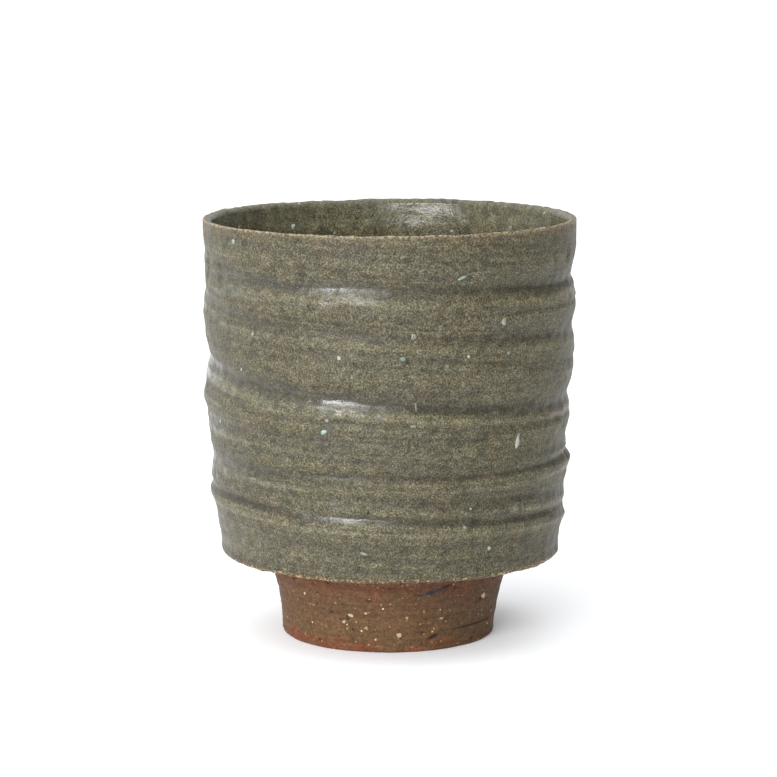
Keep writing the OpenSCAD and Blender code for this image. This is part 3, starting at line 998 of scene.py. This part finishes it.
# Colours of the bare clay from the bottom to the top
BODY_STOPS = ((0.0, tone(100, 66, 44)), (1.0, tone(94, 62, 42)))
# The foot's two top stops are partly the clay's redder top and partly painted light, lifting the shade under
# the body
FOOT_STOPS = ((0.0, tone(104, 58, 37)), (0.05, tone(98, 62, 39)), (0.15, tone(90, 67, 42)),
              (0.62, tone(88, 63, 41)), (0.8, tone(96, 61, 41)), (1.0, tone(112, 76, 55)))

dress(glazed_wall(), "outer_glaze", glaze_finish("outer_glaze_finish"))
dress(lip_band(), "lip_glaze", glaze_finish("lip_glaze_finish"))
dress(liner_skin(), "liner_glaze", glaze_finish("liner_glaze_finish"))
dress(clay_body(), "thrown_body", clay_finish("body_clay_finish", BODY_STOPS, CUP_H))
dress(foot_clay_ring(), "foot_ring", clay_finish("foot_clay_finish", FOOT_STOPS, RING_TOP_Z))
dress(slip_bead(), "slip_joint", clay_finish("joint_slip_finish", BODY_STOPS, CUP_H))
mineral = grain_finish("glaze_grain_finish", tone(80, 76, 62), tone(176, 176, 166), tone(152, 174, 163), 0.25)
dress(grain_piece("glaze_drops", "glaze_grains", GLAZE_GRAINS, UNDER_Z, wall_radius), "glaze_grains",
      mineral)
dress(grain_piece("liner_drops", "liner_grains", LINER_GRAINS, UNDER_Z, space_radius, True), "liner_grains",
      mineral)
dress(grain_piece("foot_grog", "foot_grains", FOOT_GRAINS, 0, foot_radius), "foot_grains",
      grain_finish("foot_grain_finish", tone(90, 66, 46), tone(208, 190, 156), tone(168, 138, 102), 0.7))


# Studio

# Strength of the light from all round, and how much it grows to the right, to the back and upwards
LIGHT = 0.62
LIGHT_SLOPE = (-0.46, 0.0, 0.85)

# The camera's place in metres, how many degrees it looks down, and its lens in millimetres on full frame
CAMERA_AT = (-0.00021, -0.6448, 0.1569)
CAMERA_DIP = 9.157
CAMERA_LENS = 140.1


def surroundings():
    """A white tent over the cup, brightest at its top and brighter on the left than on the right."""
    world = bpy.data.worlds.new("studio")
    world.use_nodes = True
    tree = world.node_tree
    sky = tree.nodes["Background"]
    sky.inputs["Color"].default_value = (1, 1, 1, 1)
    place = tree.nodes.new("ShaderNodeTexCoord")
    slope = tree.nodes.new("ShaderNodeVectorMath")
    slope.operation = "DOT_PRODUCT"
    slope.inputs[1].default_value = LIGHT_SLOPE
    total = tree.nodes.new("ShaderNodeMath")
    total.inputs[1].default_value = LIGHT
    tree.links.new(place.outputs["Generated"], slope.inputs[0])
    tree.links.new(slope.outputs["Value"], total.inputs[0])
    tree.links.new(total.outputs[0], sky.inputs["Strength"])
    return world


def studio():
    """The light all round and a sheet of white paper to stand on."""
    scene = bpy.context.scene
    scene.view_settings.view_transform = "Standard"
    scene.world = surroundings()
    floor_mesh = bpy.data.meshes.new("floor")
    reach = 30.0
    corners = [(-reach, -reach, 0), (reach, -reach, 0), (reach, reach, 0), (-reach, reach, 0)]
    floor_mesh.from_pydata(corners, [], [(0, 1, 2, 3)])
    floor = shown_piece("floor", floor_mesh)
    paper = bpy.data.materials.new("paper")
    paper.use_nodes = True
    sheet = paper.node_tree.nodes["Principled BSDF"].inputs
    sheet["Base Color"].default_value = (0.96, 0.97, 0.98, 1)
    sheet["Roughness"].default_value = 1.0
    sheet["Specular IOR Level"].default_value = 0.0
    sheet["Emission Color"].default_value = (0.85, 1, 1.15, 1)
    sheet["Emission Strength"].default_value = 0.07
    floor_mesh.materials.append(paper)


def softbox(name, azimuth, elevation, distance, width, height, power):
    """A lamp on a sphere round the cup, facing its middle."""
    lamp = bpy.data.lights.new(name, "AREA")
    lamp.shape = "RECTANGLE"
    lamp.size, lamp.size_y, lamp.energy = width, height, power
    holder = bpy.data.objects.new(name, lamp)
    front, right = cos_sin(azimuth)
    level, up = cos_sin(elevation)
    aim = Vector((0, 0, CUP_H / 2 * MM))
    away = Vector((right * level, -front * level, up))
    holder.location = aim + distance * away
    holder.rotation_euler = (-away).to_track_quat("-Z", "Y").to_euler()
    bpy.context.scene.collection.objects.link(holder)


def camera():
    """The photograph's view: a long lens, a little above the rim."""
    lens = bpy.data.cameras.new("camera")
    lens.sensor_width = 36
    lens.lens = CAMERA_LENS
    holder = bpy.data.objects.new("camera", lens)
    holder.location = CAMERA_AT
    holder.rotation_euler = (math.radians(90 - CAMERA_DIP), 0, 0)
    bpy.context.scene.collection.objects.link(holder)
    bpy.context.scene.camera = holder


studio()
softbox("key", azimuth=-23, elevation=20, distance=1.2, width=0.8, height=0.2, power=11)
softbox("left_panel", azimuth=-112, elevation=25, distance=1.2, width=1.2, height=1.0, power=1)
camera()
